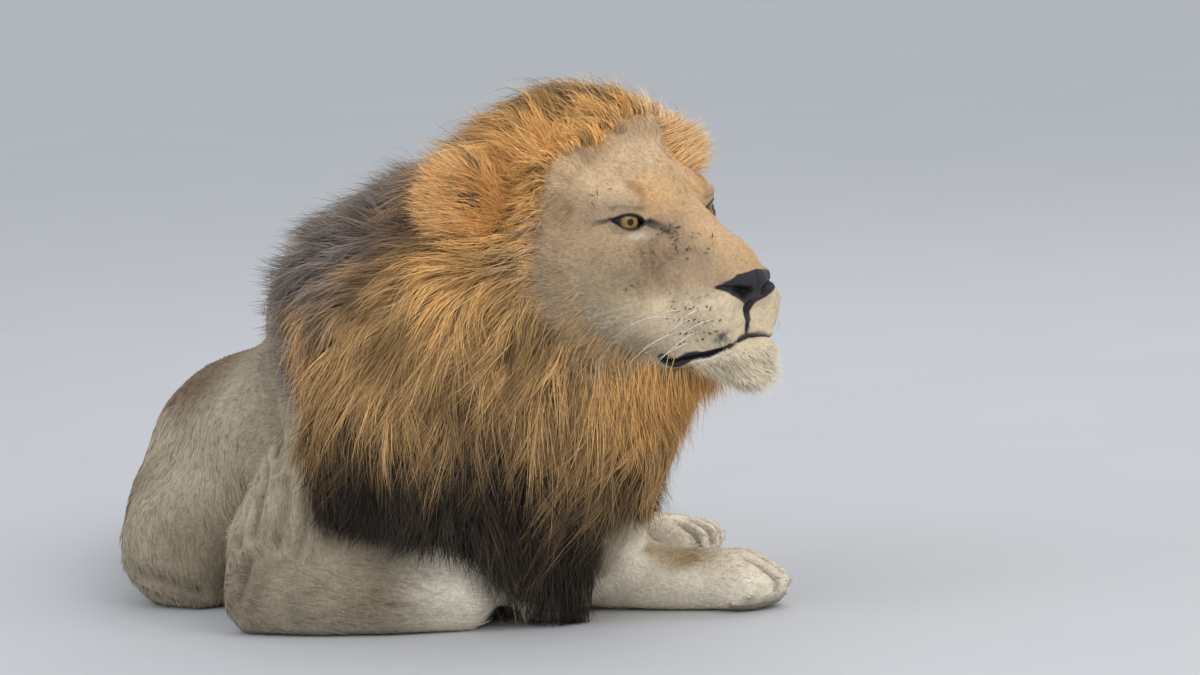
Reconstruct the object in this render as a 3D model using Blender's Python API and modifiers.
"""A resting male lion, life size, built as still solids for a museum-like model.

The flesh is gathered from named masses (chains of ellipsoids along the spine, neck and legs), fused
into one body, flattened where it rests on the floor, and then parted with thin cuts into head, neck,
trunk and legs. The solids reach out to the tips of the coat, mane included. Units are metres, +Z is up.
+X runs from the right flank side towards the nose side, +Y runs from the forelegs towards the rump.
"""

import bmesh
import bpy
from math import radians
from mathutils import Matrix, Vector

# ---------------------------------------------------------------- driving dimensions
CUT_GAP = 0.0003  # width of each parting cut
FRAME_GRAIN = 0.013  # grain of the broad masses when they are fused
FRAME_SMOOTHING = 16
BODY_GRAIN = 0.0090  # grain of the whole body, with legs, paws and head
BODY_SMOOTHING = 5
BODY_FACES = 4000  # triangles kept in the fused body
FINE_CENTRE = (0.050, 0.0, -0.065)  # the face, in the head's frame, keeps more of them
FINE_REACH = 0.150
FINE_WEIGHT = 0.985
FLOOR = 0.0

HEAD_YAW = radians(-42.0)  # the head looks towards +X and a little towards -Y
EYE_LINE = Vector((0.539, -0.095, 0.487))  # midway between the eyes
EYE_HALF_SPACING = 0.067
EYE_BACK = 0.012  # eyeball centre behind the mid-eye point
EYE_RADIUS = 0.0185
EAR_BACK = 0.178
EAR_SIDE = 0.148
EAR_RISE = 0.022
EAR_RADIUS = 0.052
EAR_THICKNESS = 0.020
EAR_TURN = radians(52.0)  # the ears open outwards from straight ahead

BALL_SEGMENTS = 16  # ears, eyes and the rounded cuts
BALL_RINGS = 10

OBJECT_NAME = "resting_male_lion"

# Spine, chest and neck: (x, y, z, half width, half height) at each station, front to back.
TRUNK = [
    (0.330, -0.020, 0.225, 0.130, 0.180),
    (0.230, 0.065, 0.235, 0.160, 0.200),
    (0.165, 0.170, 0.210, 0.150, 0.188),
    (0.090, 0.320, 0.165, 0.158, 0.160),
    (0.035, 0.500, 0.142, 0.168, 0.148),
    (0.015, 0.680, 0.125, 0.160, 0.135),
    (0.015, 0.850, 0.112, 0.135, 0.122),
    (0.035, 0.955, 0.100, 0.085, 0.090),
]
NECK = [
    (0.175, 0.130, 0.330, 0.145, 0.155),
    (0.265, 0.070, 0.385, 0.155, 0.150),
    (0.350, 0.030, 0.435, 0.155, 0.148),
    (0.425, 0.000, 0.480, 0.135, 0.135),
]
MANE_APRON = [
    (0.330, -0.020, 0.360, 0.170, 0.160),
    (0.415, -0.030, 0.270, 0.148, 0.150),
    (0.385, -0.015, 0.150, 0.125, 0.120),
    (0.370, -0.005, 0.060, 0.100, 0.070),
]
MANE_RIGHT = [
    (0.385, -0.090, 0.400, 0.085, 0.125),
    (0.290, -0.070, 0.370, 0.110, 0.130),
    (0.190, 0.000, 0.310, 0.115, 0.130),
    (0.205, -0.040, 0.240, 0.105, 0.110),
    (0.265, -0.075, 0.175, 0.095, 0.095),
]
MANE_LEFT = [
    (0.480, 0.050, 0.400, 0.085, 0.125),
    (0.440, 0.100, 0.340, 0.095, 0.130),
    (0.350, 0.170, 0.290, 0.100, 0.120),
]

# Right foreleg: folded, the wrist bent so that the paw lies back under the chest.
UPPER_ARM_RIGHT = [
    (0.165, 0.000, 0.255, 0.078, 0.085),
    (0.118, 0.000, 0.180, 0.078, 0.090),
    (0.055, 0.010, 0.090, 0.070, 0.080),
]
FOREARM_RIGHT = [
    (0.028, 0.020, 0.050, 0.062, 0.062),
    (0.090, -0.020, 0.055, 0.062, 0.062),
    (0.180, -0.050, 0.052, 0.058, 0.058),
    (0.268, -0.055, 0.050, 0.056, 0.056),
]
FOREPAW_RIGHT = [
    (0.265, -0.030, 0.045, 0.048, 0.046),
    (0.225, 0.040, 0.036, 0.042, 0.038),
    (0.205, 0.085, 0.032, 0.044, 0.034),
]

# Left foreleg: forearm flat on the floor, paw pointing forward.
UPPER_ARM_LEFT = [
    (0.330, 0.150, 0.240, 0.075, 0.100),
    (0.260, 0.220, 0.150, 0.070, 0.090),
    (0.220, 0.260, 0.080, 0.060, 0.080),
]
FOREARM_LEFT = [
    (0.215, 0.265, 0.050, 0.055, 0.055),
    (0.300, 0.180, 0.055, 0.055, 0.056),
    (0.390, 0.090, 0.052, 0.052, 0.054),
    (0.450, 0.035, 0.048, 0.048, 0.050),
]
FOREPAW_LEFT = [
    (0.460, 0.028, 0.048, 0.046, 0.048),
    (0.525, 0.003, 0.038, 0.044, 0.042),
    (0.602, -0.014, 0.036, 0.052, 0.040),
]

# Right hind leg: thigh along the flank, shank and foot folded in under the belly.
THIGH_RIGHT = [
    (-0.010, 0.780, 0.115, 0.108, 0.122),
    (-0.042, 0.600, 0.108, 0.104, 0.118),
    (-0.064, 0.420, 0.093, 0.095, 0.106),
    (-0.080, 0.270, 0.068, 0.086, 0.083),
]
SHANK_RIGHT = [
    (-0.060, 0.240, 0.050, 0.060, 0.060),
    (0.020, 0.380, 0.045, 0.055, 0.055),
    (0.110, 0.560, 0.040, 0.045, 0.045),
]
HINDPAW_RIGHT = [
    (0.130, 0.570, 0.035, 0.040, 0.040),
    (0.190, 0.490, 0.030, 0.038, 0.034),
    (0.245, 0.415, 0.030, 0.042, 0.032),
]

# Left hind leg: knee raised, foot forward on the floor beside the left forearm.
THIGH_LEFT = [
    (0.075, 0.800, 0.150, 0.090, 0.110),
    (0.180, 0.620, 0.165, 0.092, 0.105),
    (0.285, 0.420, 0.155, 0.072, 0.078),
]
SHANK_LEFT = [
    (0.290, 0.405, 0.145, 0.062, 0.062),
    (0.330, 0.530, 0.092, 0.050, 0.052),
    (0.362, 0.640, 0.046, 0.040, 0.042),
]
HINDPAW_LEFT = [
    (0.366, 0.638, 0.038, 0.037, 0.039),
    (0.452, 0.530, 0.027, 0.037, 0.029),
    (0.543, 0.421, 0.026, 0.044, 0.028),
]

# Toes at the end of a paw: (paw stations, width across the toes, toe length, toe height).
TOES = [
    (FOREPAW_RIGHT, 0.092, 0.030, 0.026),
    (FOREPAW_LEFT, 0.108, 0.035, 0.031),
    (HINDPAW_RIGHT, 0.086, 0.030, 0.026),
    (HINDPAW_LEFT, 0.090, 0.033, 0.025),
]
TOE_COUNT = 4
TOE_ADVANCE = 0.048  # toe centres ahead of the last station of the paw

# Tail, laid on the floor to the lion's left, and its tuft.
TAIL = [
    (0.060, 1.000, 0.070, 0.035, 0.035),
    (0.130, 1.060, 0.030, 0.026, 0.028),
    (0.250, 1.060, 0.021, 0.022, 0.022),
    (0.370, 1.000, 0.019, 0.020, 0.020),
    (0.450, 0.900, 0.018, 0.019, 0.019),
    (0.480, 0.820, 0.019, 0.021, 0.021),
]
TAIL_TUFT = [
    (0.483, 0.800, 0.020, 0.023, 0.022),
    (0.480, 0.740, 0.024, 0.033, 0.028),
    (0.470, 0.690, 0.019, 0.022, 0.022),
]

# Head masses in the head's own frame: (forward, left, up) from the mid-eye point, then the radii.
HEAD_MASSES = [
    ("braincase", (-0.090, 0.000, 0.000), (0.105, 0.112, 0.084)),
    ("forehead", (-0.028, 0.000, 0.018), (0.056, 0.078, 0.046)),
    ("bridge_root", (0.022, 0.000, -0.020), (0.056, 0.042, 0.040)),
    ("bridge", (0.070, 0.000, -0.050), (0.060, 0.040, 0.036)),
    ("muzzle", (0.074, 0.000, -0.096), (0.066, 0.060, 0.048)),
    ("nose_base", (0.110, 0.000, -0.074), (0.032, 0.036, 0.027)),
    ("chin", (0.098, 0.000, -0.156), (0.046, 0.050, 0.032)),
    ("beard", (0.098, 0.000, -0.178), (0.044, 0.044, 0.027)),
    ("jaw", (0.012, 0.000, -0.130), (0.092, 0.082, 0.056)),
    ("throat", (-0.080, 0.000, -0.130), (0.110, 0.100, 0.090)),
]
HEAD_PAIRS = [
    ("cheekbone", (-0.036, 0.072, -0.052), (0.074, 0.048, 0.046)),
    ("cheek", (-0.055, 0.076, -0.095), (0.090, 0.055, 0.068)),
    ("whisker_pad", (0.092, 0.036, -0.105), (0.046, 0.035, 0.037)),
    ("brow", (-0.012, 0.060, 0.022), (0.028, 0.032, 0.020)),
    ("upper_lip", (0.048, 0.052, -0.110), (0.056, 0.026, 0.036)),
]
MANE_CROWN = [
    ("crown_front", (-0.105, 0.015, 0.058), (0.070, 0.110, 0.094)),
    ("crown", (-0.165, 0.010, 0.060), (0.100, 0.112, 0.105)),
    ("crown_back", (-0.240, 0.000, 0.010), (0.105, 0.120, 0.106)),
]
MANE_CROWN_PAIRS = [
    ("ruff_side", (-0.150, 0.095, -0.100), (0.080, 0.062, 0.095)),
    ("ruff_low", (-0.110, 0.080, -0.180), (0.090, 0.070, 0.085)),
    ("ruff_temple", (-0.078, 0.092, 0.062), (0.054, 0.042, 0.056)),
]


# ---------------------------------------------------------------- helpers
def clear_scene():
    for item in list(bpy.data.objects):
        bpy.data.objects.remove(item, do_unlink=True)


def new_collection(name):
    group = bpy.data.collections.new(name)
    bpy.context.scene.collection.children.link(group)
    return group


def add_object(name, mesh, group):
    item = bpy.data.objects.new(name, mesh)
    group.objects.link(item)
    return item


def head_matrix():
    return Matrix.Translation(EYE_LINE) @ Matrix.Rotation(HEAD_YAW, 4, "Z")


def in_head(forward, left, up):
    """A point given in the head's frame, in the model's frame."""
    return head_matrix() @ Vector((forward, left, up))


def heading_matrix(centre, along, radii):
    """Places a unit ball as an ellipsoid whose first radius points along the given direction."""
    forward = along.normalized()
    side = Vector((0.0, 0.0, 1.0)).cross(forward)
    if side.length < 0.2:
        side = Vector((0.0, 1.0, 0.0))
    side.normalize()
    up = forward.cross(side)
    turn = Matrix((forward, side, up)).transposed().to_4x4()
    return Matrix.Translation(centre) @ turn @ Matrix.Diagonal((*radii, 1.0))


def unit_ball(segments=24, rings=14):
    """A ball of radius 1 as a mesh, to be copied and stretched."""
    mesh = bpy.data.meshes.new("unit_ball")
    bm = bmesh.new()
    bmesh.ops.create_uvsphere(bm, u_segments=segments, v_segments=rings, radius=1.0)
    bm.to_mesh(mesh)
    bm.free()
    return mesh


def add_ball(bm, ball, matrix):
    copy = ball.copy()
    copy.transform(matrix)
    bm.from_mesh(copy)
    bpy.data.meshes.remove(copy)


def add_chain(bm, ball, stations, step=0.022):
    """A row of overlapping ellipsoids from station to station, their radii blending evenly."""
    for first, second in zip(stations, stations[1:]):
        start = Vector(first[:3])
        end = Vector(second[:3])
        count = max(2, round((end - start).length / step))
        for index in range(count + 1):
            share = index / count
            ease = share * share * (3.0 - 2.0 * share)
            width = first[3] + (second[3] - first[3]) * ease
            height = first[4] + (second[4] - first[4]) * ease
            length = 0.5 * (width + height) * 0.85
            add_ball(bm, ball, heading_matrix(start.lerp(end, share), end - start, (length, width, height)))


def add_toes(bm, ball, stations, width, length, height):
    """Toes side by side ahead of the last station, the outer ones set back a little."""
    last = Vector(stations[-1][:3])
    heading = last - Vector(stations[-2][:3])
    heading.z = 0.0
    heading.normalize()
    side = Vector((-heading.y, heading.x, 0.0))
    thick = width / TOE_COUNT * 0.62
    for index in range(TOE_COUNT):
        across = (index + 0.5) / TOE_COUNT - 0.5
        ahead = TOE_ADVANCE - 0.045 * across * across * 4.0
        centre = last + heading * (ahead - length * 0.45) + side * across * width
        centre.z = height * 0.92
        add_ball(bm, ball, heading_matrix(centre, heading, (length, thick, height)))


def add_masses(bm, ball, singles, pairs):
    """Single and mirrored ellipsoids of the head, given in its own frame."""
    frame = head_matrix()
    for _name, centre, radii in singles:
        add_ball(bm, ball, frame @ Matrix.Translation(centre) @ Matrix.Diagonal((*radii, 1.0)))
    for _name, centre, radii in pairs:
        for side in (1.0, -1.0):
            place = Vector((centre[0], centre[1] * side, centre[2]))
            add_ball(bm, ball, frame @ Matrix.Translation(place) @ Matrix.Diagonal((*radii, 1.0)))


def evaluated_mesh(item):
    graph = bpy.context.evaluated_depsgraph_get()
    return bpy.data.meshes.new_from_object(item.evaluated_get(graph))


def fused(name, mesh, grain, smoothing):
    """One closed skin round all the shells of the mesh, smoothed."""
    masses = add_object(name, mesh, bpy.context.scene.collection)
    fuse = masses.modifiers.new("fuse", "REMESH")
    fuse.mode = "VOXEL"
    fuse.voxel_size = grain
    soften = masses.modifiers.new("soften", "SMOOTH")
    soften.factor = 0.5
    soften.iterations = smoothing
    skin = evaluated_mesh(masses)
    bpy.data.objects.remove(masses, do_unlink=True)
    return skin


def thinned(name, mesh, faces):
    """The mesh with fewer triangles, the face keeping a finer grain than the rest."""
    item = add_object(name, mesh, bpy.context.scene.collection)
    group = item.vertex_groups.new(name="coarse")
    middle = in_head(*FINE_CENTRE)
    for vertex in mesh.vertices:
        near = (vertex.co - middle).length < FINE_REACH
        group.add([vertex.index], FINE_WEIGHT if near else 1.0, "REPLACE")
    mesh.calc_loop_triangles()
    thin = item.modifiers.new("thin", "DECIMATE")
    thin.ratio = faces / len(mesh.loop_triangles)
    thin.vertex_group = "coarse"
    thin.vertex_group_factor = 1.0
    result = evaluated_mesh(item)
    bpy.data.objects.remove(item, do_unlink=True)
    return result


def fused_body():
    """Trunk, neck, mane and thighs fused first and smoothed well, then joined by legs, head and tail."""
    ball = unit_ball()
    bm = bmesh.new()
    for stations in (TRUNK, NECK, MANE_APRON, MANE_RIGHT, MANE_LEFT, THIGH_RIGHT, THIGH_LEFT):
        add_chain(bm, ball, stations)
    add_masses(bm, ball, MANE_CROWN, MANE_CROWN_PAIRS)
    frame = bpy.data.meshes.new("frame")
    bm.to_mesh(frame)
    bm.clear()
    bm.from_mesh(fused("frame", frame, FRAME_GRAIN, FRAME_SMOOTHING))
    for stations in (
        UPPER_ARM_RIGHT, FOREARM_RIGHT, FOREPAW_RIGHT,
        UPPER_ARM_LEFT, FOREARM_LEFT, FOREPAW_LEFT,
        SHANK_RIGHT, HINDPAW_RIGHT, SHANK_LEFT, HINDPAW_LEFT,
        TAIL, TAIL_TUFT,
    ):
        add_chain(bm, ball, stations)
    for stations, width, length, height in TOES:
        add_toes(bm, ball, stations, width, length, height)
    add_masses(bm, ball, HEAD_MASSES, HEAD_PAIRS)
    mesh = bpy.data.meshes.new("masses")
    bm.to_mesh(mesh)
    bm.free()
    body = thinned("body", fused("masses", mesh, BODY_GRAIN, BODY_SMOOTHING), BODY_FACES)
    for vertex in body.vertices:
        vertex.co.z = max(vertex.co.z, FLOOR)
    return body


# ---------------------------------------------------------------- ears and eyes
def add_ear(side, parts):
    """A round cupped ear: a flat ball hollowed on its front, set in a pocket of the mane."""
    facing = in_head_frame(-EAR_BACK, -EAR_SIDE * side, EAR_RISE) @ Matrix.Rotation(-EAR_TURN * side, 4, "Z")
    name = "ear_right" if side > 0 else "ear_left"
    bm = bmesh.new()
    bmesh.ops.create_uvsphere(bm, u_segments=BALL_SEGMENTS, v_segments=BALL_RINGS, radius=1.0)
    bm.transform(facing @ Matrix.Diagonal((EAR_THICKNESS, EAR_RADIUS, EAR_RADIUS, 1.0)))
    mesh = bpy.data.meshes.new(name)
    bm.to_mesh(mesh)
    bm.free()
    ear = add_object(name, mesh, parts)
    cup = facing @ Matrix.Translation((EAR_THICKNESS * 1.25, 0.0, EAR_RADIUS * 0.08))
    hollow = ball_cutter(name + "_cup", cup, (EAR_THICKNESS * 1.15, EAR_RADIUS * 0.78, EAR_RADIUS * 0.80), 0.0)
    ear.data = boolean_mesh(ear, hollow, "DIFFERENCE")
    pocket = (EAR_THICKNESS, EAR_RADIUS, EAR_RADIUS)
    return ear, ball_cutter(name + "_pocket", facing, pocket, CUT_GAP * 2.0)


def add_eye(side, parts):
    centre = in_head_frame(-EYE_BACK, -EYE_HALF_SPACING * side, 0.0)
    name = "eye_right" if side > 0 else "eye_left"
    bm = bmesh.new()
    bmesh.ops.create_uvsphere(bm, u_segments=BALL_SEGMENTS, v_segments=BALL_RINGS, radius=EYE_RADIUS)
    bm.transform(centre)
    mesh = bpy.data.meshes.new(name)
    bm.to_mesh(mesh)
    bm.free()
    eye = add_object(name, mesh, parts)
    return eye, ball_cutter(name + "_socket", centre, (EYE_RADIUS,) * 3, CUT_GAP * 3.0)


# ---------------------------------------------------------------- cutting regions
def box_cutter(name, matrix, half, grow):
    """A box given by its half sizes in its own frame, grown evenly by the parting gap."""
    bm = bmesh.new()
    bmesh.ops.create_cube(bm, size=2.0)
    size = Matrix.Diagonal((half[0] + grow, half[1] + grow, half[2] + grow, 1.0))
    bm.transform(matrix @ size)
    return cutter_object(name, bm)


def ball_cutter(name, matrix, radii, grow):
    bm = bmesh.new()
    bmesh.ops.create_uvsphere(bm, u_segments=BALL_SEGMENTS, v_segments=BALL_RINGS, radius=1.0)
    size = Matrix.Diagonal((radii[0] + grow, radii[1] + grow, radii[2] + grow, 1.0))
    bm.transform(matrix @ size)
    return cutter_object(name, bm)


def cutter_object(name, bm):
    mesh = bpy.data.meshes.new(name)
    bm.to_mesh(mesh)
    bm.free()
    item = add_object(name, mesh, bpy.data.collections["cutters"])
    item.hide_render = True
    item.display_type = "WIRE"
    return item


def boolean_mesh(item, cutter, operation):
    """The item's mesh after one exact Boolean with the cutter."""
    step = item.modifiers.new("part_cut", "BOOLEAN")
    step.operation = operation
    step.solver = "EXACT"
    step.object = cutter
    graph = bpy.context.evaluated_depsgraph_get()
    mesh = bpy.data.meshes.new_from_object(item.evaluated_get(graph))
    item.modifiers.remove(step)
    return mesh


def without_slivers(mesh):
    """Removes the few crumbs that a cut can leave, so that the solid is one closed body."""
    bm = bmesh.new()
    bm.from_mesh(mesh)
    groups = []
    left = set(bm.verts)
    while left:
        seed = left.pop()
        stack = [seed]
        group = [seed]
        while stack:
            for edge in stack.pop().link_edges:
                for vertex in edge.verts:
                    if vertex in left:
                        left.remove(vertex)
                        stack.append(vertex)
                        group.append(vertex)
        groups.append(group)
    groups.sort(key=len)
    for group in groups[:-1]:
        bmesh.ops.delete(bm, geom=group, context="VERTS")
    bm.to_mesh(mesh)
    bm.free()
    return mesh


def part_off(body, name, shape, matrix, sizes, parts):
    """Parts a region off the body as a node of its own, leaving the thin gap between them."""
    make = box_cutter if shape == "box" else ball_cutter
    inner = make(name + "_region", matrix, sizes, 0.0)
    outer = make(name + "_gap", matrix, sizes, CUT_GAP)
    piece = add_object(name, without_slivers(boolean_mesh(body, inner, "INTERSECT")), parts)
    body.data = without_slivers(boolean_mesh(body, outer, "DIFFERENCE"))
    return piece


def turned(x, y, z, yaw_degrees=0.0, pitch_degrees=0.0):
    turn = Matrix.Rotation(radians(yaw_degrees), 4, "Z") @ Matrix.Rotation(radians(pitch_degrees), 4, "Y")
    return Matrix.Translation((x, y, z)) @ turn


def in_head_frame(forward, left, up, pitch_degrees=0.0):
    return head_matrix() @ turned(forward, left, up, 0.0, pitch_degrees)


# Each region in the order of cutting: (node, shape, matrix, half sizes or radii).
REGIONS = [
    ("nose", "ball", in_head_frame(0.132, 0.0, -0.068), (0.022, 0.031, 0.024)),
    ("lower_jaw", "box", in_head_frame(0.085, 0.0, -0.178), (0.085, 0.078, 0.042)),
    ("muzzle", "box", in_head_frame(0.145, 0.0, -0.050), (0.100, 0.120, 0.086)),
    ("head", "box", in_head_frame(0.040, 0.0, 0.000, -17.0), (0.135, 0.180, 0.180)),
    ("forepaw_left", "box", turned(0.590, 0.000, 0.050, -12.0), (0.120, 0.090, 0.060)),
    ("forearm_left", "box", turned(0.350, 0.125, 0.050, -43.0), (0.180, 0.068, 0.062)),
    ("upper_arm_left", "ball", turned(0.295, 0.215, 0.170), (0.105, 0.100, 0.125)),
    ("forepaw_right", "box", turned(0.230, 0.055, 0.030, -68.0), (0.082, 0.055, 0.045)),
    ("forearm_right", "box", turned(0.150, -0.050, 0.040, -13.0), (0.205, 0.075, 0.068)),
    ("upper_arm_right", "ball", turned(0.105, -0.020, 0.190), (0.105, 0.090, 0.125)),
    ("hindpaw_left", "box", turned(0.448, 0.538, 0.042, -51.0), (0.205, 0.075, 0.054)),
    ("hindpaw_right", "box", turned(0.225, 0.440, 0.030, -53.0), (0.105, 0.060, 0.050)),
    ("hind_leg_left", "box", turned(0.249, 0.600, 0.150, -61.0), (0.250, 0.135, 0.160)),
    ("thigh_right", "box", turned(-0.110, 0.460, 0.080, -84.0), (0.310, 0.085, 0.160)),
    ("tail_tuft", "box", turned(0.480, 0.745, 0.020), (0.060, 0.075, 0.060)),
    ("tail", "box", turned(0.300, 0.960, 0.020, 0.0), (0.230, 0.180, 0.050)),
    ("rump", "box", turned(0.030, 1.000, 0.150, 8.0), (0.260, 0.230, 0.200)),
    ("neck", "box", turned(0.455, -0.080, 0.500, -38.0, -8.0), (0.270, 0.330, 0.240)),
    ("chest", "box", turned(0.470, -0.090, 0.120, -38.0), (0.260, 0.330, 0.160)),
]


# ---------------------------------------------------------------- colours and placing
COAT = ((0.42, 0.29, 0.16), 0.85)
PALE_COAT = ((0.62, 0.50, 0.36), 0.85)
MANE = ((0.36, 0.20, 0.08), 0.90)
DARK_MANE = ((0.07, 0.05, 0.04), 0.90)
NOSE_LEATHER = ((0.03, 0.025, 0.025), 0.45)
EYE = ((0.45, 0.25, 0.06), 0.10)
COLOURS = {
    "nose": NOSE_LEATHER,
    "eye_left": EYE,
    "eye_right": EYE,
    "neck": MANE,
    "chest": DARK_MANE,
    "ear_left": MANE,
    "ear_right": MANE,
    "muzzle": PALE_COAT,
    "lower_jaw": PALE_COAT,
    "forepaw_left": PALE_COAT,
    "forepaw_right": PALE_COAT,
    "forearm_left": PALE_COAT,
    "hindpaw_left": PALE_COAT,
    "hindpaw_right": PALE_COAT,
    "tail_tuft": DARK_MANE,
}


def paint(item):
    colour, roughness = COLOURS.get(item.name, COAT)
    material = bpy.data.materials.new(item.name + "_surface")
    material.use_nodes = True
    shader = material.node_tree.nodes["Principled BSDF"]
    shader.inputs["Base Color"].default_value = (*colour, 1.0)
    shader.inputs["Roughness"].default_value = roughness
    shader.inputs["Metallic"].default_value = 0.0
    item.data.materials.clear()
    item.data.materials.append(material)


def centre_on_origin(items):
    """Moves everything so that the origin is the middle of the bounding box, on the floor."""
    points = [vertex.co for item in items for vertex in item.data.vertices]
    middle = [(min(p[axis] for p in points) + max(p[axis] for p in points)) / 2.0 for axis in (0, 1)]
    for item in items:
        item.data.transform(Matrix.Translation((-middle[0], -middle[1], 0.0)))


def main():
    clear_scene()
    parts = new_collection(OBJECT_NAME)
    new_collection("cutters")
    body = add_object("trunk", fused_body(), parts)
    for side in (1.0, -1.0):
        for _piece, pocket in (add_ear(side, parts), add_eye(side, parts)):
            body.data = boolean_mesh(body, pocket, "DIFFERENCE")
    for name, shape, matrix, sizes in REGIONS:
        part_off(body, name, shape, matrix, sizes, parts)
    centre_on_origin(list(parts.objects))
    for item in parts.objects:
        paint(item)


main()
